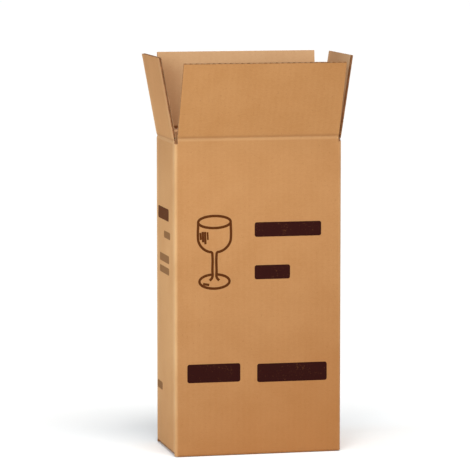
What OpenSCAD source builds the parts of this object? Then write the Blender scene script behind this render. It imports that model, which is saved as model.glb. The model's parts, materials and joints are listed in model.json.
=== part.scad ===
// Tall two-bottle carton of single-wall corrugated board, folded from one slotted blank.
// The walls and the glued bottom are one solid, and the four open top flaps turn on their creases.

/* [Carton] */
// Outside width across the front
carton_w = 192; // [192:1:260]
// Outside depth from front to back
carton_d = 104; // [100:1:160]
// Height of the front flap's fold line above the floor
carton_h = 360; // [200:1:480]
// Length of the front flap from its fold line to its cut edge
flap_len = 91; // [50:0.5:92]

/* [Board] */
// Thickness of the corrugated board
board_t = 3; // [2.5:0.1:4]
// Thickness of each of the two facing sheets
liner_t = 0.4; // [0.3:0.05:0.5]
// Thickness of the fluted sheet between the facings
medium_t = 0.35; // [0.25:0.05:0.5]
// Distance from one flute crest to the next
flute_pitch = 6.5; // [5:0.1:9]

/* [Folds and slots] */
// Inside radius of the upright folds and of the bottom folds
fold_inner_r = 0.6; // [0.4:0.1:3]
// Sideways room between a closed flap and the wall beside it
slot_clear = 0.4; // [0.3:0.1:2]
// Thickness of the gap between flaps that lie on each other when closed
stack_gap = 0.2; // [0.2:0.1:1]
// Gap between the floor and the lower ends of the upright folds
corner_gap = 1; // [0.5:0.5:3]

/* [Flap creases] */
// Length of board pressed thin on each side of a fold line
crease_len = 3.4; // [3:0.1:6]
// Depth of the fold axis under the outside face of the board
crease_depth = 0.6; // [0.5:0.05:1]
// Radius of the rolled bead along the fold axis
bead_r = 0.5; // [0.4:0.05:0.6]
// Gap between a bead and the top of the wall under it
bead_gap = 0.25; // [0.2:0.05:0.4]

/* [Flap lean] */
// Outward lean of the front flap from upright
front_lean_angle = 22.5; // [-90:0.5:150]
// Outward lean of the back flap from upright
back_lean_angle = 7.5; // [-90:0.5:150]
// Outward lean of the left flap from upright
left_lean_angle = 10.5; // [-90:0.5:150]
// Outward lean of the right flap from upright
right_lean_angle = 8.5; // [-90:0.5:150]

/* [Glued joints] */
// Gap between the cut edges of the two outer bottom flaps
bottom_seam = 1; // [0.5:0.5:4]
// Distance of that gap behind the middle of the bottom
bottom_seam_y = 2; // [1:0.5:10]
// Width of the glued lap inside the back wall
lap_w = 32; // [20:1:45]
// Height by which the lap's ends slope towards its cut edge
lap_slope = 10; // [0:1:20]
// Distance of the back wall's cut edge from the right side of the carton
lap_seam = 1.6; // [0.5:0.1:2.4]

/* [Hidden] */
$fn = 64;
kraft = [0.77, 0.57, 0.38];
kraft_inside = [0.70, 0.48, 0.29];
// Turn about the vertical that brings the front wall's frame to each wall
FRONT = 0;
RIGHT = 90;
BACK = 180;
LEFT = 270;
fold_r = board_t + fold_inner_r;
slot_inset = board_t + slot_clear;
ply = board_t + stack_gap;
// Side flaps close first, then the front flap, then the back flap, so each fold line is one ply higher
front_fold_z = carton_h;
side_fold_z = carton_h - ply;
back_fold_z = carton_h + ply;
// The blank is cut straight along the top, so a higher fold leaves a shorter flap
side_flap_len = flap_len + ply;
back_flap_len = flap_len - ply;
slot_top_z = side_fold_z - crease_len;
slot_bottom_z = board_t + fold_r;
wide_panel = carton_w - 2 * slot_inset;
narrow_panel = carton_d - 2 * slot_inset;
front_bottom_len = carton_d / 2 + bottom_seam_y - bottom_seam / 2;
back_bottom_len = carton_d / 2 - bottom_seam_y - bottom_seam / 2;
side_bottom_len = carton_d / 2;
// Flutes are drawn with this many points to a pitch, and sink this far into the facings
flute_steps = 8;
flute_bond = 0.1;
flute_height = (board_t - medium_t) / 2 - liner_t + flute_bond;

// Frame of one wall: its outside face is y = 0, inwards is +y, and x runs along it from the middle
module on_wall(turn) {
    half_span = (turn == FRONT || turn == BACK ? carton_d : carton_w) / 2;
    rotate([0, 0, turn]) translate([0, -half_span, 0]) children();
}

// Extrudes a profile drawn in y and z along the wall, centred on its middle
module along_wall(length) {
    translate([-length / 2, 0, 0]) rotate([90, 0, 90]) linear_extrude(length) children();
}

// Cross-section of the corrugated board: two facings with the fluted sheet between them
module board_section(w) {
    steps = ceil(w / flute_pitch / 2 + 1) * flute_steps;
    wave = [for (i = [-steps:steps])
        [i * flute_pitch / flute_steps, flute_height * cos(360 * i / flute_steps)]];
    upper = [for (p = wave) p + [0, medium_t / 2]];
    lower = [for (i = [len(wave) - 1:-1:0]) wave[i] - [0, medium_t / 2]];
    translate([-w / 2, 0]) square([w, liner_t]);
    translate([-w / 2, board_t - liner_t]) square([w, liner_t]);
    intersection() {
        translate([-w / 2, 0]) square([w, board_t]);
        translate([0, board_t / 2]) polygon(concat(upper, lower));
    }
}

// Board pressed to a wedge whose thin edge is on the fold axis, drawn above the axis
module crease_wedge() {
    polygon([[crease_depth, 0], [board_t, crease_len], [0, crease_len]]);
}

// Panel of a wall between its slots, from the slots' ends up to the pressed edge under the fold
module wall_top(panel, fold_z) {
    shoulder_z = fold_z - crease_len;
    edge = bead_r + bead_gap;
    if (shoulder_z > slot_top_z)
        translate([-panel / 2, 0, slot_top_z]) cube([panel, board_t, shoulder_z - slot_top_z]);
    translate([0, 0, fold_z]) along_wall(panel) difference() {
        mirror([0, 1]) crease_wedge();
        translate([0, -edge]) square([board_t, edge]);
    }
}

// Quarter turn of the board about a horizontal fold, with the outside face down at z = 0
module bottom_fold(panel) {
    along_wall(panel) translate([fold_r, fold_r]) intersection() {
        difference() {
            circle(fold_r);
            circle(fold_inner_r);
        }
        translate([-fold_r, -fold_r]) square(fold_r);
    }
}

// Lower end of a wall between its slots, turned in to a closed bottom flap at height z
module wall_bottom(panel, reach, z) {
    straight = slot_bottom_z - z - fold_r;
    translate([0, 0, z]) {
        bottom_fold(panel);
        translate([-panel / 2, fold_r, 0]) cube([panel, reach - fold_r, board_t]);
        if (straight > 0)
            translate([-panel / 2, 0, fold_r]) cube([panel, board_t, straight]);
    }
}

// Upright fold between two walls, with the narrow end that is left between its two bottom slots
module upright_fold() {
    rotate_extrude(angle = 90) translate([fold_inner_r, slot_bottom_z])
        square([board_t, slot_top_z - slot_bottom_z]);
    translate([0, 0, corner_gap]) linear_extrude(slot_bottom_z - corner_gap) intersection() {
        circle(fold_r);
        translate([fold_inner_r, fold_inner_r]) square(board_t);
    }
}

// Band of a wall from x0 to x1 along it, between the bottom slots and the top slots unless told otherwise
module wall_band(x0, x1, z0 = slot_bottom_z, z1 = slot_top_z) {
    translate([x0, 0, z0]) cube([x1 - x0, board_t, z1 - z0]);
}

// Lap that the right wall turns in to, glued against the inside of the back wall
module glued_lap() {
    edge_x = carton_w / 2 - fold_r;
    translate([edge_x, carton_d / 2 - board_t, 0]) rotate([90, 0, 0]) linear_extrude(board_t)
        polygon([[0, slot_bottom_z], [0, slot_top_z],
            [-lap_w, slot_top_z - lap_slope], [-lap_w, slot_bottom_z + lap_slope]]);
}

module carton_body() color(kraft) {
    half_w = carton_w / 2 - fold_r;
    half_d = carton_d / 2 - fold_r;
    on_wall(FRONT) wall_band(-half_w, half_w);
    on_wall(LEFT) wall_band(-half_d, half_d);
    on_wall(BACK) wall_band(lap_seam - carton_w / 2, half_w);
    on_wall(BACK) wall_band(lap_seam - carton_w / 2, board_t - carton_w / 2, corner_gap, slot_bottom_z);
    on_wall(RIGHT) wall_band(-half_d, half_d - board_t);
    translate([half_w, -half_d, 0]) rotate([0, 0, 270]) upright_fold();
    translate([-half_w, -half_d, 0]) rotate([0, 0, 180]) upright_fold();
    translate([-half_w, half_d, 0]) rotate([0, 0, 90]) upright_fold();
    translate([half_w, half_d - board_t, 0]) upright_fold();
    glued_lap();
    on_wall(FRONT) wall_top(wide_panel, front_fold_z);
    on_wall(BACK) wall_top(wide_panel, back_fold_z);
    on_wall(LEFT) wall_top(narrow_panel, side_fold_z);
    on_wall(RIGHT) wall_top(narrow_panel, side_fold_z);
    on_wall(FRONT) wall_bottom(wide_panel, front_bottom_len, 0);
    on_wall(BACK) wall_bottom(wide_panel, back_bottom_len, 0);
    on_wall(LEFT) wall_bottom(narrow_panel, side_bottom_len, board_t);
    on_wall(RIGHT) wall_bottom(narrow_panel, side_bottom_len, board_t);
}

// Flap on a wall: a bead on the fold axis, the pressed wedge, then board with open flutes
module top_flap(turn, panel, length, fold_z, lean) {
    on_wall(turn) translate([0, crease_depth, fold_z]) rotate([lean, 0, 0])
        translate([0, -crease_depth, 0]) {
            translate([-panel / 2, crease_depth, 0]) rotate([0, 90, 0]) cylinder(h = panel, r = bead_r);
            along_wall(panel) crease_wedge();
            translate([0, 0, crease_len]) linear_extrude(length - crease_len) board_section(panel);
        }
}

module front_flap() color(kraft) top_flap(FRONT, wide_panel, flap_len, front_fold_z, front_lean_angle);

module back_flap() color(kraft_inside) top_flap(BACK, wide_panel, back_flap_len, back_fold_z, back_lean_angle);

module left_flap() color(kraft) top_flap(LEFT, narrow_panel, side_flap_len, side_fold_z, left_lean_angle);

module right_flap() color(kraft_inside) top_flap(RIGHT, narrow_panel, side_flap_len, side_fold_z, right_lean_angle);

carton_body();
front_flap();
back_flap();
left_flap();
right_flap();
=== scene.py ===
import json
import math

import bmesh
import bpy
from mathutils import Matrix, Vector


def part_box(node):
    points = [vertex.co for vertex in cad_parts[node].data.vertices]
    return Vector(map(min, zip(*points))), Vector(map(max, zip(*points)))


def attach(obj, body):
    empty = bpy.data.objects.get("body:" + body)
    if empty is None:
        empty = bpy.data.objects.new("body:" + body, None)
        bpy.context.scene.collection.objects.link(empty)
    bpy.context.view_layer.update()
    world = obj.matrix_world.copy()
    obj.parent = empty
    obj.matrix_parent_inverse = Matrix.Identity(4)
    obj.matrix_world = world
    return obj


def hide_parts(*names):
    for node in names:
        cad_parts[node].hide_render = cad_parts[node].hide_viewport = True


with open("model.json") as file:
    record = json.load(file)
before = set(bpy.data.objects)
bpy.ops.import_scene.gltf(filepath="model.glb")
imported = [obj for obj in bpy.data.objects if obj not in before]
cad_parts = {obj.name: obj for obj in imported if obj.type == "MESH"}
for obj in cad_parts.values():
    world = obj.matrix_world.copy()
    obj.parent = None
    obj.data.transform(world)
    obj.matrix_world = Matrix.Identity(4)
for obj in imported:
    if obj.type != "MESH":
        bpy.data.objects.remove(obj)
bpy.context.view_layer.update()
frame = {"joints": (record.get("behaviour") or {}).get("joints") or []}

# Folded carton
# The walls and the closed bottom are one slotted sheet of brown corrugated board, creased, folded round
# to a tube and glued along a lap inside the back right corner. Its four bottom flaps are glued shut.
MM = 0.001
TINY = 0.01 * MM
board_t = 3 * MM
fold_inner_r = 0.6 * MM
fold_r = board_t + fold_inner_r
upright_fold_steps = 8
bottom_fold_steps = 6
flute_pitch = 6.5 * MM
bottom_seam_y = 2 * MM
bottom_seam = 1 * MM
lap_w = 32 * MM
lap_slope = 10 * MM
lap_seam = 1.6 * MM
corner_gap = 1 * MM
crease_len = 3.4 * MM
crease_steps = 5
crease_press = 0.78 * MM
crease_share = 0.03
crease_tip_gap = 0.43 * MM
smooth_angle = math.radians(35)
wall_names = ("front", "right", "back", "left")
outward = {
    "front": Vector((0, -1, 0)),
    "right": Vector((1, 0, 0)),
    "back": Vector((0, 1, 0)),
    "left": Vector((-1, 0, 0)),
}
joints = {joint["name"]: joint for joint in frame["joints"]}
fold_z = {name: joints[name + "_fold"]["pos_m"][2] for name in wall_names}
slot_low = board_t + fold_r
slot_high = fold_z["left"] - crease_len
half_d = -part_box("carton_body")[0].y
half_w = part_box("carton_body")[1].x
half_span = {"front": half_d, "right": half_w, "back": half_d, "left": half_w}
bottom_z = {"front": 0.0, "right": board_t, "back": 0.0, "left": board_t}
bottom_reach = {
    "front": half_d + bottom_seam_y - bottom_seam / 2,
    "right": half_d,
    "back": half_d - bottom_seam_y - bottom_seam / 2,
    "left": half_d,
}
kraft_face = (180, 121, 66)
kraft_light = (202, 154, 106)
kraft_dark = (150, 98, 54)
# Colour of painted shade towards the bottom and the right of the walls
kraft_low_shade = (162, 98, 40)
# Colour of painted shade that makes the walls greyer and darker than the flaps
kraft_wall_shade = (150, 108, 72)
inner_face = (205, 157, 112)
inner_light = (215, 174, 132)
inner_dark = (174, 122, 76)
cut_light = (172, 120, 78)
cut_dark = (128, 84, 50)
paper_evenness = 0.72
paper_bump = 0.05 * MM
cut_bump = 0.1 * MM
# Strength of the painted shade on the walls below the creases
wall_shade_strength = 0.18
speck_strength = 0.35
# Pale band along the upright folds: partly real rubbing, partly a painted highlight on the rounded fold
pale_band_on_wide_wall = 1.2 * fold_r
pale_band_on_side_wall = 5 * fold_r
pale_band_edge = 0.3 * fold_r
pale_band_strength = 0.55
# Strength of a painted highlight under each crease, where the pressed shoulder faces up
crease_highlight_strength = 0.35
# Strength of a painted shadow line along each crease
crease_shade_strength = 0.3
# Painted shade towards the bottom and the right: where it starts and ends, its slant and its strength
low_shade_from = -70 * MM
low_shade_to = 170 * MM
low_shade_slant = 0.6
low_shade_strength = 0.46


def srgb(red, green, blue):
    """A colour given in screen values from 0 to 255, as the linear values that shaders take."""
    parts = [value / 255 for value in (red, green, blue)]
    return tuple(p / 12.92 if p <= 0.04045 else ((p + 0.055) / 1.055) ** 2.4 for p in parts) + (1.0,)


class Shade:
    """An output of a material's nodes. Arithmetic on it adds Math nodes, and node() adds any other."""

    def __init__(self, tree, socket=None):
        self.tree = tree
        self.socket = socket

    def node(self, kind, sockets=None, output=0, **settings):
        made = self.tree.nodes.new("ShaderNode" + kind)
        for name, value in settings.items():
            setattr(made, name, value)
        for name, value in (sockets or {}).items():
            if isinstance(value, Shade):
                self.tree.links.new(value.socket, made.inputs[name])
            else:
                made.inputs[name].default_value = value
        return Shade(self.tree, made.outputs[output])

    def math(self, operation, *others):
        return self.node("Math", dict(enumerate((self, *others))), operation=operation)

    def between(self, low, high):
        """0 below the low value and 1 above the high one, with a smooth rise."""
        sockets = {"Value": self, "From Min": low, "From Max": high}
        return self.node("MapRange", sockets, interpolation_type="SMOOTHSTEP")

    def mix(self, colour, other):
        """From one colour to another as this value goes from 0 to 1."""
        return self.node("Mix", {0: self, 6: colour, 7: other}, output=2, data_type="RGBA")

    def __add__(self, other):
        return self.math("ADD", other)

    def __sub__(self, other):
        return self.math("SUBTRACT", other)

    def __rsub__(self, other):
        return self.node("Math", {0: other, 1: self}, operation="SUBTRACT")

    def __mul__(self, other):
        return self.math("MULTIPLY", other)

    __radd__ = __add__
    __rmul__ = __mul__


def new_material(name):
    """A new material, and a shade that adds nodes to it."""
    material = bpy.data.materials.new(name)
    material.use_nodes = True
    return material, Shade(material.node_tree)


def surface(material, base_color, roughness, height, depth, sheen=0.25):
    """Links colour, roughness and a bump of the given depth to the material's surface shader."""
    shader = material.node_tree.nodes["Principled BSDF"]
    links = material.node_tree.links
    bump = height.node("Bump", {"Height": height, "Strength": 1.0, "Distance": depth})
    links.new(base_color.socket, shader.inputs["Base Color"])
    links.new(roughness.socket, shader.inputs["Roughness"])
    links.new(bump.socket, shader.inputs["Normal"])
    shader.inputs["Specular IOR Level"].default_value = sheen


def kraft_liner(name, face, light, dark):
    """Facing paper: cloudy pulp, level fibres, dark specks, and the flutes showing faintly through it,
    with painted highlights and painted shade at the folds, creases and walls.
    """
    material, shade = new_material(name)
    place = shade.node("TexCoord", output="Object")
    cloud = shade.node("TexNoise", {"Vector": place, "Scale": 22.0, "Detail": 4.0, "Roughness": 0.55})
    along_fibres = shade.node("Mapping", {"Vector": place, "Scale": (260.0, 260.0, 760.0)})
    fibre = shade.node("TexNoise", {"Vector": along_fibres, "Scale": 1.0, "Detail": 3.0})
    pulp = shade.node("TexNoise", {"Vector": place, "Scale": 900.0, "Detail": 2.0})
    speck = shade.node("TexNoise", {"Vector": place, "Scale": 420.0, "Detail": 1.0}).between(0.68, 0.76)
    x = shade.node("SeparateXYZ", {"Vector": place}, output="X")
    y = shade.node("SeparateXYZ", {"Vector": place}, output="Y")
    z = shade.node("SeparateXYZ", {"Vector": place}, output="Z")

    # The wall that a point is on, and the upright flutes behind its paper
    beyond_x = x.math("ABSOLUTE") - half_w
    beyond_y = y.math("ABSOLUTE") - half_d
    side = (beyond_x - beyond_y).between(-TINY, TINY)
    back = y.between(-TINY, TINY) * (1 - side)
    along_wall = x + side * (y - x)
    flute = (along_wall * (2 * math.pi / flute_pitch)).math("COSINE")

    # Paper paler along the upright folds, partly from real rubbing and partly a painted highlight,
    # a painted highlight under the creases and a painted shadow line where the board bends above them.
    # The walls get painted shade that makes them greyer than the flaps, and painted shade that makes
    # them darker and browner towards the bottom and the right
    # Painted highlight mixed with real rubbing: paler along the upright folds
    near_side = beyond_x.between(-pale_band_on_wide_wall, -pale_band_edge)
    near_front = beyond_y.between(-pale_band_on_side_wall, -pale_band_edge)
    rubbed_and_highlit = near_side * near_front * (0.6 + 0.4 * cloud.between(0.3, 0.6))
    crease_z = fold_z["front"] + side * (fold_z["left"] - fold_z["front"])
    crease_z = crease_z + back * (fold_z["back"] - fold_z["front"])
    # Painted highlight: a pale band just under each crease
    pressed = z.between(crease_z - 1.4 * crease_len, crease_z - 0.7 * crease_len)
    pressed = pressed * (1 - z.between(crease_z - 0.1 * crease_len, crease_z))
    # Painted shade: a dark line where the board bends at the crease
    crease_shade = z.between(crease_z - 0.1 * crease_len, crease_z)
    crease_shade = crease_shade * (1 - z.between(crease_z + 0.4 * crease_len, crease_z + 0.9 * crease_len))
    # Painted shade: the walls below the creases darker and greyer than the flaps
    wall_shade = 1 - z.between(crease_z, crease_z + crease_len)
    # Painted shade: darker and browner towards the bottom and the right of each wall
    foot = 1 - (z - low_shade_slant * x).between(low_shade_from, low_shade_to)

    tone = cloud * 0.6 + fibre * 0.35 + pulp * 0.35 + flute * 0.02
    colour = tone.between(0.3, 1.0).mix(srgb(*dark), srgb(*light))
    colour = shade.node("Mix", {0: paper_evenness, 6: colour, 7: srgb(*face)}, output=2, data_type="RGBA")
    colour = (wall_shade * wall_shade_strength).mix(colour, srgb(*kraft_wall_shade))
    colour = (speck * speck_strength).mix(colour, srgb(*dark))
    colour = (rubbed_and_highlit * pale_band_strength).mix(colour, srgb(*light))
    colour = (pressed * crease_highlight_strength).mix(colour, srgb(*light))
    colour = (crease_shade * crease_shade_strength).mix(colour, srgb(*dark))
    colour = (foot * low_shade_strength).mix(colour, srgb(*kraft_low_shade))
    roughness = 0.72 + 0.2 * fibre
    height = fibre * 0.5 + pulp * 0.25 + flute * 0.35
    surface(material, colour, roughness, height, paper_bump)
    return material


def cut_board(name, dark, light):
    """Raw edge of the board: torn brown fibres of the fluted paper."""
    material, shade = new_material(name)
    place = shade.node("TexCoord", output="Object")
    fibre = shade.node("TexNoise", {"Vector": place, "Scale": 700.0, "Detail": 3.0})
    layer = shade.node("TexNoise", {"Vector": place, "Scale": 160.0, "Detail": 2.0})
    colour = (fibre * 0.6 + layer * 0.4).between(0.35, 0.65).mix(srgb(*dark), srgb(*light))
    surface(material, colour, 0.8 + 0.15 * fibre, fibre, cut_bump)
    return material


outer_liner = kraft_liner("outer_liner", kraft_face, kraft_light, kraft_dark)
inner_liner = kraft_liner("inner_liner", inner_face, inner_light, inner_dark)
cut_edge = cut_board("cut_edge", cut_dark, cut_light)


def begin(name, add, **place):
    """Add a primitive at its size and place, and go into edit mode with nothing selected."""
    bpy.ops.object.select_all(action="DESELECT")
    add(**place)
    piece = bpy.context.object
    piece.name = name
    bpy.ops.object.transform_apply(location=True, rotation=True, scale=True)
    bpy.ops.object.mode_set(mode="EDIT")
    bpy.ops.mesh.select_all(action="DESELECT")
    return piece


def choose(kind, test):
    """In edit mode, select the verts, edges or faces whose middle passes the test."""
    bpy.ops.mesh.select_mode(type=kind)
    bpy.ops.mesh.select_all(action="DESELECT")
    shape = bmesh.from_edit_mesh(bpy.context.object.data)
    for part in {"VERT": shape.verts, "EDGE": shape.edges, "FACE": shape.faces}[kind]:
        corners = [part] if kind == "VERT" else part.verts
        middle = sum((corner.co for corner in corners), Vector()) / len(corners)
        if test(middle):
            part.select_set(True)
    bmesh.update_edit_mesh(bpy.context.object.data)


def pull(step):
    """Extrude the selected edges by a step."""
    bpy.ops.mesh.extrude_region_move(TRANSFORM_OT_translate={"value": tuple(step)})


def weigh(share):
    """Give the selected verts a share of the board's full thickness."""
    bpy.context.scene.tool_settings.vertex_group_weight = share
    bpy.ops.object.vertex_group_assign()


def shape_with(piece, kind, **settings):
    """Add a modifier and apply it."""
    modifier = piece.modifiers.new(kind.title(), kind)
    for name, value in settings.items():
        setattr(modifier, name, value)
    bpy.ops.object.modifier_apply(modifier=modifier.name)


def smooth(t):
    """Smooth rise from 0 to 1."""
    return t * t * (3 - 2 * t)


def near(a, b):
    """True for two places along an axis that are the same."""
    return abs(a - b) < TINY


carton = begin(
    "folded_carton",
    bpy.ops.mesh.primitive_cube_add,
    size=1,
    location=(0, 0, (slot_low + slot_high) / 2),
    scale=(2 * half_w, 2 * half_d, slot_high - slot_low),
)
choose("FACE", lambda p: near(p.z, slot_low) or near(p.z, slot_high))
bpy.ops.mesh.delete(type="ONLY_FACE")

# The tube is open at its back right corner, where the right wall turns in to the lap
choose("EDGE", lambda p: near(p.x, half_w) and near(p.y, half_d))
bpy.ops.mesh.edge_split(type="EDGE")
choose("FACE", lambda p: near(p.y, half_d))
bpy.ops.mesh.hide(unselected=True)
choose("VERT", lambda p: near(p.x, half_w))
bpy.ops.transform.translate(value=(-lap_seam, 0, 0))
bpy.ops.mesh.reveal(select=False)
choose("VERT", lambda p: near(p.x, half_w) and near(p.y, half_d))
bpy.ops.transform.translate(value=(0, -board_t, 0))
choose("EDGE", lambda p: near(p.x, half_w) and near(p.y, half_d - board_t))
pull((-lap_w - fold_r, 0, 0))
lap_edge_x = half_w - lap_w - fold_r
choose("VERT", lambda p: near(p.x, lap_edge_x) and near(p.z, slot_high))
bpy.ops.transform.translate(value=(0, 0, -lap_slope))
choose("VERT", lambda p: near(p.x, lap_edge_x) and near(p.z, slot_low))
bpy.ops.transform.translate(value=(0, 0, lap_slope))


def at_upright_fold(p):
    """True for the upright edges, apart from the cut edges of the back wall and of the lap."""
    corner = near(abs(p.x), half_w) and near(abs(p.y), half_d)
    return corner or (near(p.x, half_w) and near(p.y, half_d - board_t))


choose("EDGE", at_upright_fold)
bpy.ops.mesh.bevel(
    offset=fold_r, segments=upright_fold_steps, profile=0.5, affect="EDGES", clamp_overlap=False
)
choose("FACE", lambda p: near(p.y, half_d))
bpy.ops.mesh.bisect(plane_co=(half_w - fold_r, 0, 0), plane_no=(1, 0, 0))


def at_wall_edge(p, name, z):
    """True for the level edge of a wall at a height, whose middle is close to the wall's own middle."""
    sideways = Vector((outward[name].y, outward[name].x, 0))
    on_wall = near(p.dot(outward[name]), half_span[name])
    return on_wall and abs(p.dot(sideways)) < 2 * board_t and near(p.z, z)


# Above the slots each wall runs up to its crease, where the board is pressed thin
carton.vertex_groups.new(name="thickness")
bpy.ops.mesh.select_all(action="SELECT")
weigh(1.0)
for name in wall_names:
    out = outward[name]
    choose("EDGE", lambda p: at_wall_edge(p, name, slot_high))
    shoulder = fold_z[name] - crease_len - slot_high
    if shoulder > TINY:
        pull((0, 0, shoulder))
    rise = (crease_len - crease_tip_gap) / crease_steps
    for step in range(1, crease_steps + 1):
        pressed = smooth(step / crease_steps)
        before = smooth((step - 1) / crease_steps)
        pull(-out * crease_press * (pressed - before) + Vector((0, 0, rise)))
        weigh(1 - (1 - crease_share) * pressed)

    # Below the slots it turns in to its bottom flap
    choose("EDGE", lambda p: at_wall_edge(p, name, slot_low))
    straight = slot_low - fold_r - bottom_z[name]
    if straight > TINY:
        pull((0, 0, -straight))
    turn_centre = out * (half_span[name] - fold_r) + Vector((0, 0, bottom_z[name] + fold_r))
    turn_axis = out.cross(Vector((0, 0, 1)))
    bpy.ops.mesh.spin(steps=bottom_fold_steps, angle=math.pi / 2, center=turn_centre, axis=turn_axis)
    pull(-out * (bottom_reach[name] - fold_r))


def under_upright_fold(p):
    """True for the lower ends of the upright folds, between the bottom flaps."""
    beside_x = abs(p.x) > half_w - fold_r
    beside_y = abs(p.y) > half_d - fold_r - board_t
    return near(p.z, slot_low) and beside_x and beside_y


choose("EDGE", under_upright_fold)
pull((0, 0, corner_gap - slot_low))
bpy.ops.mesh.select_all(action="SELECT")
bpy.ops.mesh.remove_doubles(threshold=TINY / 10)
bpy.ops.object.mode_set(mode="OBJECT")
for material in (outer_liner, inner_liner, cut_edge):
    carton.data.materials.append(material)
shape_with(
    carton,
    "SOLIDIFY",
    thickness=board_t,
    offset=-1,
    use_even_offset=True,
    vertex_group="thickness",
    material_offset=1,
    material_offset_rim=2,
)
bpy.ops.object.shade_smooth_by_angle(angle=smooth_angle)
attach(carton, "carton")
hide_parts("carton_body")

# Top flaps
# Four panels of the same sheet, left open above their creases. Each is two facing papers glued to a fluted
# one, so its cut edges show the flutes, and it is pressed to a thin round edge along the fold.
front_flap_len = 91 * MM
slot_clear = 0.4 * MM
slot_inset = board_t + slot_clear
axis_depth = 0.6 * MM
liner_t = 0.35 * MM
medium_t = 0.35 * MM
bead_r = 0.41 * MM
bead_arc = math.radians(240)
bead_steps = 12
flute_bond = 0.05 * MM
flute_steps = 12
flute_recess = 0.15 * MM
flute_height = (board_t - medium_t) / 2 - liner_t + flute_bond


def fluted_paper(panel, low, high):
    """The wavy middle paper, between two heights: one flute pulled out step by step, then repeated."""
    step_x = flute_pitch / flute_steps
    wave = [flute_height * math.cos(2 * math.pi * k / flute_steps) for k in range(flute_steps + 1)]
    middle_y = board_t / 2 - axis_depth
    middle_z = (low + high) / 2
    paper = begin(
        "fluted_paper",
        bpy.ops.mesh.primitive_plane_add,
        size=1,
        rotation=(math.pi / 2, 0, 0),
        location=(step_x / 2, middle_y + wave[0], middle_z),
    )
    bpy.ops.mesh.select_all(action="SELECT")
    bpy.ops.transform.resize(value=(step_x, 1, high - low), center_override=(step_x / 2, 0, middle_z))
    choose("EDGE", lambda p: near(p.x, step_x))
    bpy.ops.transform.translate(value=(0, wave[1] - wave[0], 0))
    for k in range(2, flute_steps + 1):
        pull((step_x, wave[k] - wave[k - 1], 0))
    half_count = math.ceil(panel / flute_pitch / 2)
    bpy.ops.mesh.select_all(action="SELECT")
    bpy.ops.transform.translate(value=(-half_count * flute_pitch, 0, 0))
    bpy.ops.object.mode_set(mode="OBJECT")
    shape_with(
        paper,
        "ARRAY",
        count=2 * half_count,
        use_relative_offset=False,
        use_constant_offset=True,
        constant_offset_displace=(flute_pitch, 0, 0),
        use_merge_vertices=True,
        merge_threshold=TINY,
    )
    bpy.ops.object.mode_set(mode="EDIT")
    for end in (-1, 1):
        bpy.ops.mesh.select_all(action="SELECT")
        bpy.ops.mesh.bisect(plane_co=(end * panel / 2, 0, 0), plane_no=(end, 0, 0), clear_outer=True)
    bpy.ops.object.mode_set(mode="OBJECT")
    paper.data.materials.append(cut_edge)
    shape_with(paper, "SOLIDIFY", thickness=medium_t, offset=0)
    return paper


def facing_papers(name, panel, length):
    """Both facings as one sheet: down the outside, round the thin edge at the fold and up the inside."""
    outer_y = -axis_depth
    inner_y = board_t - axis_depth
    neck_y = bead_r * math.sin(bead_arc / 2)
    neck_z = -bead_r * math.cos(bead_arc / 2)
    middle_z = (crease_len + length) / 2
    papers = begin(
        name,
        bpy.ops.mesh.primitive_plane_add,
        size=1,
        rotation=(math.pi / 2, 0, 0),
        location=(0, outer_y, middle_z),
    )
    bpy.ops.mesh.select_all(action="SELECT")
    bpy.ops.transform.resize(value=(panel, 1, length - crease_len), center_override=(0, 0, middle_z))
    choose("EDGE", lambda p: near(p.z, crease_len))
    drop = (crease_len - neck_z) / crease_steps
    for step in range(1, crease_steps + 1):
        pressed = smooth(step / crease_steps) - smooth((step - 1) / crease_steps)
        pull((0, pressed * (-neck_y - outer_y), -drop))
    bpy.ops.mesh.spin(steps=bead_steps, angle=bead_arc, center=(0, 0, 0), axis=(-1, 0, 0))
    for step in range(1, crease_steps + 1):
        pressed = smooth(step / crease_steps) - smooth((step - 1) / crease_steps)
        pull((0, pressed * (inner_y - neck_y), drop))
    pull((0, 0, length - crease_len))
    bpy.ops.mesh.select_all(action="SELECT")
    bpy.ops.mesh.remove_doubles(threshold=TINY / 10)
    bpy.ops.mesh.normals_make_consistent(inside=False)
    bpy.ops.object.mode_set(mode="OBJECT")
    for material in (outer_liner, inner_liner, cut_edge):
        papers.data.materials.append(material)
    bpy.ops.object.mode_set(mode="EDIT")
    choose("FACE", lambda p: p.y > 0)
    papers.active_material_index = 1
    bpy.ops.object.material_slot_assign()
    bpy.ops.object.mode_set(mode="OBJECT")
    shape_with(papers, "SOLIDIFY", thickness=liner_t, offset=-1, material_offset_rim=2)
    return papers


for name in wall_names:
    joint = joints[name + "_fold"]
    # The blank is cut straight along the top, so a higher fold leaves a shorter flap
    length = front_flap_len - (fold_z[name] - fold_z["front"])
    half_panel = (half_w if name in ("front", "back") else half_d) - slot_inset
    # The joint closes the flap flat, so its lower limit tells how far it leans out at rest
    lean = math.radians(-joint["range_deg"][0] - 90)
    flutes = fluted_paper(2 * half_panel, crease_len, length - flute_recess)
    flap = facing_papers(name + "_flap_board", 2 * half_panel, length)
    flutes.select_set(True)
    bpy.ops.object.join()
    turn = math.atan2(outward[name].x, -outward[name].y)
    flap.matrix_world = (
        Matrix.Translation(joint["pos_m"])
        @ Matrix.Rotation(turn, 4, "Z")
        @ Matrix.Rotation(lean, 4, "X")
    )
    bpy.ops.object.transform_apply(location=True, rotation=True, scale=True)
    bpy.ops.object.shade_smooth_by_angle(angle=smooth_angle)
    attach(flap, name + "_flap")
    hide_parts(name + "_flap")

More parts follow.
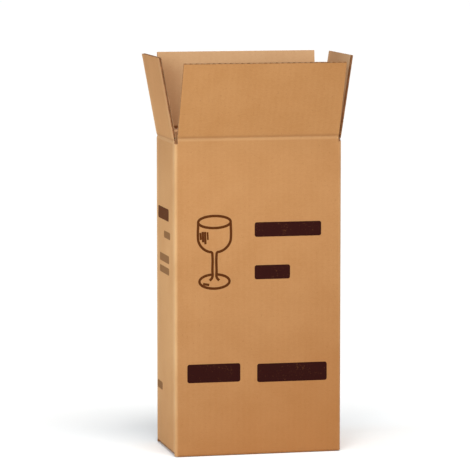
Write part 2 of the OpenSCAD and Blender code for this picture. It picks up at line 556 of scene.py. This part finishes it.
# Print
# One pass of dark brown flexographic ink on the walls: a stemmed glass in outline on the front, with plain
# bars beside and under it, and a smaller, fainter set of bars on the left wall.
ink_t = 0.06 * MM
ink_bump = 0.03 * MM
ink_sheen = 0.06
bare_strength = 0.35
ink_dark = (46, 14, 10)
ink_brown = (82, 40, 12)
ink_faint = (122, 80, 46)
line_half_w = 1.45 * MM
line_smooth_angle = math.radians(60)
glass_x = -50.7 * MM
rim_z = 265.4 * MM
rim_size = (18.6 * MM, 6.8 * MM)
rim_join = 1 * MM
bowl_x = 18.9 * MM
bowl_depth = 17 * MM
bowl_low_z = 231 * MM
stem_x = 2.4 * MM
foot_z = 198.4 * MM
foot_size = (17.2 * MM, 8.0 * MM)
# Points down the side of the stem, in mm out from its straight stretch and up from the foot
stem_curve = ((0.6, 32.6), (0, 29.6), (0, 12), (0.2, 4.5), (3, 1))
# Short strokes of shading on the foot and the bowl: x and z of both ends, and half the width, in mm
shading = (
    (-13.2, 195.8, -6.0, 194.6, 1.4),
    (-16.2, 253.6, -15.7, 245.6, 1.2),
    (-13.5, 254.6, -13.0, 242.8, 1.3),
    (-10.8, 254.6, -10.3, 240.6, 1.3),
    (-8.0, 254.2, -7.5, 245.4, 1.0),
)
bar_round = 2.5 * MM
bar_round_steps = 6
# Each bar's name, its two ends along the wall, its bottom and its top, in mm
front_bars = (
    ("front_bar_upper", -4.5, 72.5, 247.5, 264.0),
    ("front_bar_lower", -4.5, 36.5, 199.5, 215.5),
    ("front_bar_foot_left", -82.0, -21.0, 84.0, 105.0),
    ("front_bar_foot_right", -1.5, 79.5, 82.5, 103.5),
)
side_bars = (
    ("side_bar_top", -18.0, 40.0, 263.0, 277.0),
    ("side_bar_small", -26.0, 8.0, 243.0, 251.0),
    ("side_bar_upper", -20.0, 32.0, 215.0, 224.0),
    ("side_bar_lower", -20.0, 32.0, 202.0, 210.0),
    ("side_bar_foot", 18.0, 46.0, 66.0, 75.0),
)


def flexo_ink(name, ink, paper):
    """Thin ink on rough paper: the paper's fibres show through it in fine pale specks."""
    material, shade = new_material(name)
    place = shade.node("TexCoord", output="Object")
    fibre = shade.node("TexNoise", {"Vector": place, "Scale": 800.0, "Detail": 3.0})
    cloud = shade.node("TexNoise", {"Vector": place, "Scale": 90.0, "Detail": 3.0})
    bare = (fibre * 0.7 + cloud * 0.3).between(0.58, 0.8)
    colour = (bare * bare_strength).mix(srgb(*ink), srgb(*paper))
    surface(material, colour, 0.7 + 0.25 * fibre, fibre, ink_bump, sheen=ink_sheen)
    return material


bar_ink = flexo_ink("bar_ink", ink_dark, kraft_face)
glass_ink = flexo_ink("glass_ink", ink_brown, kraft_face)
side_ink = flexo_ink("side_ink", ink_faint, kraft_face)


def ink_stroke(name, points, half_width=line_half_w, closed=False):
    """A drawn line through points in x and z, pressed flat on to the front wall."""
    curve = bpy.data.curves.new(name, "CURVE")
    curve.dimensions = "3D"
    curve.bevel_depth = half_width
    curve.bevel_resolution = 2
    curve.resolution_u = 6
    curve.use_fill_caps = True
    line = curve.splines.new("BEZIER")
    line.bezier_points.add(len(points) - 1)
    line.use_cyclic_u = closed
    for knot, (x, z) in zip(line.bezier_points, points):
        knot.co = (x, 0, z)
        knot.handle_left_type = "AUTO"
        knot.handle_right_type = "AUTO"
    stroke = bpy.data.objects.new(name, curve)
    bpy.context.scene.collection.objects.link(stroke)
    bpy.ops.object.select_all(action="DESELECT")
    stroke.select_set(True)
    bpy.context.view_layer.objects.active = stroke
    bpy.ops.object.convert(target="MESH")
    stroke = bpy.context.object
    stroke.scale = (1, ink_t / half_width, 1)
    stroke.location = (glass_x, -half_d, 0)
    bpy.ops.object.transform_apply(location=True, rotation=True, scale=True)
    return stroke


def oval(centre_z, size, start, end, count):
    """Points along an oval, between two angles in degrees."""
    angles = [math.radians(start + (end - start) * k / (count - 1)) for k in range(count)]
    return [(size[0] * math.cos(a), centre_z + size[1] * math.sin(a)) for a in angles]


def glass_side(side):
    """One side of the glass, from the rim round the bowl and down the stem to the foot."""
    rim = [(rim_size[0], rim_z - rim_join)]
    bowl = oval(bowl_low_z + bowl_depth, (bowl_x, bowl_depth), start=0, end=-70, count=6)
    stem = [(stem_x + out * MM, foot_z + up * MM) for out, up in stem_curve]
    return [(side * x, z) for x, z in rim + bowl + stem]


strokes = [
    ink_stroke("glass_mark", oval(rim_z, rim_size, start=0, end=345, count=24), closed=True),
    ink_stroke("glass_left", glass_side(-1)),
    ink_stroke("glass_right", glass_side(1)),
    ink_stroke("glass_foot", oval(foot_z, foot_size, start=80, end=-258, count=24)),
]
for x0, z0, x1, z1, half_width in shading:
    ends = [(x0 * MM, z0 * MM), (x1 * MM, z1 * MM)]
    strokes.append(ink_stroke("shading", ends, half_width * MM))
bpy.ops.object.select_all(action="DESELECT")
for stroke in strokes:
    stroke.select_set(True)
glass = strokes[0]
bpy.context.view_layer.objects.active = glass
bpy.ops.object.join()
bpy.ops.object.shade_smooth_by_angle(angle=line_smooth_angle)
glass.data.materials.append(glass_ink)
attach(glass, "carton")


def ink_bar(name, wall, low, high, bottom, top, ink):
    """A printed bar with round corners, on the front or the left wall."""
    along = (low + high) / 2 * MM
    level = (bottom + top) / 2 * MM
    length = (high - low) * MM
    height = (top - bottom) * MM
    if wall == "front":
        place = (along, -half_d, level)
        size = (length, 2 * ink_t, height)
    else:
        place = (-half_w, along, level)
        size = (2 * ink_t, length, height)
    bar = begin(name, bpy.ops.mesh.primitive_cube_add, size=1, location=place, scale=size)
    choose("EDGE", lambda p: near(p.dot(outward[wall]), half_span[wall]))
    bpy.ops.mesh.bevel(offset=bar_round, segments=bar_round_steps, profile=0.5, affect="EDGES")
    bpy.ops.object.mode_set(mode="OBJECT")
    bar.data.materials.append(ink)
    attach(bar, "carton")


for bar_name, *bar_place in front_bars:
    ink_bar(bar_name, "front", *bar_place, bar_ink)
for bar_name, *bar_place in side_bars:
    ink_bar(bar_name, "left", *bar_place, glass_ink if bar_name == "side_bar_top" else side_ink)

# Studio
# A plain white floor under a dim white sky and two wide lights high in front, to the right and to the
# left. Two small cool lights brighten the left wall and the flaps, and the camera stands where the
# photograph was taken.
floor_size = 60.0
floor_white = ((0.955, 0.975, 0.99, 1), (0.965, 0.985, 1.0, 1))
floor_bump = 0.1 * MM
sky_colour = (1.0, 0.98, 0.955, 1)
sky_strength = 0.4
far_colour = (1.0, 0.98, 0.955)
far_angle = math.radians(25)
left_cool = (0.5, 0.78, 1.0)
front_cool = (0.68, 0.88, 1.0)
camera_turn = math.radians(12.84)
camera_tilt = math.radians(6.274)
camera_reach = 3.579
aim_height = 244 * MM
aim_shift = 14.9 * MM

bpy.ops.object.select_all(action="DESELECT")
bpy.ops.mesh.primitive_plane_add(size=floor_size, location=(0, 0, 0))
floor = bpy.context.object
floor.name = "studio_floor"
floor_paint, shade = new_material("floor_paint")
floor_place = shade.node("TexCoord", output="Object")
grain = shade.node("TexNoise", {"Vector": floor_place, "Scale": 3.0, "Detail": 2.0})
surface(floor_paint, grain.mix(*floor_white), 0.7 + 0.2 * grain, grain, floor_bump)
floor.data.materials.append(floor_paint)

world = bpy.data.worlds.new("studio_sky")
world.use_nodes = True
world.node_tree.nodes["Background"].inputs["Color"].default_value = sky_colour
world.node_tree.nodes["Background"].inputs["Strength"].default_value = sky_strength
bpy.context.scene.world = world


def soft_box(name, place, aim, colour, power, size, spread):
    """A square studio light at a place, turned to a point, that throws its light within a cone."""
    lamp = bpy.data.lights.new(name, "AREA")
    lamp.color = colour
    lamp.energy = power
    lamp.size = size
    lamp.spread = math.radians(spread)
    light = bpy.data.objects.new(name, lamp)
    light.location = place
    light.rotation_euler = (Vector(aim) - Vector(place)).to_track_quat("-Z", "Y").to_euler()
    light.visible_camera = False
    bpy.context.scene.collection.objects.link(light)


def far_light(name, course, power):
    """A wide studio light far above the front, that throws its light along a course."""
    lamp = bpy.data.lights.new(name, "SUN")
    lamp.color = far_colour
    lamp.energy = power
    lamp.angle = far_angle
    light = bpy.data.objects.new(name, lamp)
    light.rotation_euler = Vector(course).to_track_quat("-Z", "Y").to_euler()
    bpy.context.scene.collection.objects.link(light)


soft_box(
    "left_light",
    place=(-1.3, -0.2, 0.3),
    aim=(-0.1, 0, 0.17),
    colour=left_cool,
    power=0.52,
    size=0.3,
    spread=30,
)
soft_box(
    "front_light",
    place=(-0.55, -1.15, 0.6),
    aim=(-0.05, -0.06, 0.4),
    colour=front_cool,
    power=0.53,
    size=0.4,
    spread=36,
)
far_light("top_right_light", course=(-0.3, 1.0, -2.4), power=1.4)
far_light("top_left_light", course=(0.5, 1.0, -2.4), power=1.05)

camera_data = bpy.data.cameras.new("camera")
camera_data.lens = 240.7
camera_data.sensor_width = 36
camera_data.clip_end = 100
camera = bpy.data.objects.new("camera", camera_data)
camera_right = Vector((math.cos(camera_turn), -math.sin(camera_turn), 0))
camera_aim = Vector((0, 0, aim_height)) - aim_shift * camera_right
sight = Vector(
    (
        math.sin(camera_turn) * math.cos(camera_tilt),
        math.cos(camera_turn) * math.cos(camera_tilt),
        -math.sin(camera_tilt),
    )
)
camera.location = camera_aim - camera_reach * sight
camera.rotation_euler = sight.to_track_quat("-Z", "Y").to_euler()
bpy.context.scene.collection.objects.link(camera)
bpy.context.scene.camera = camera
bpy.context.scene.view_settings.view_transform = "Standard"
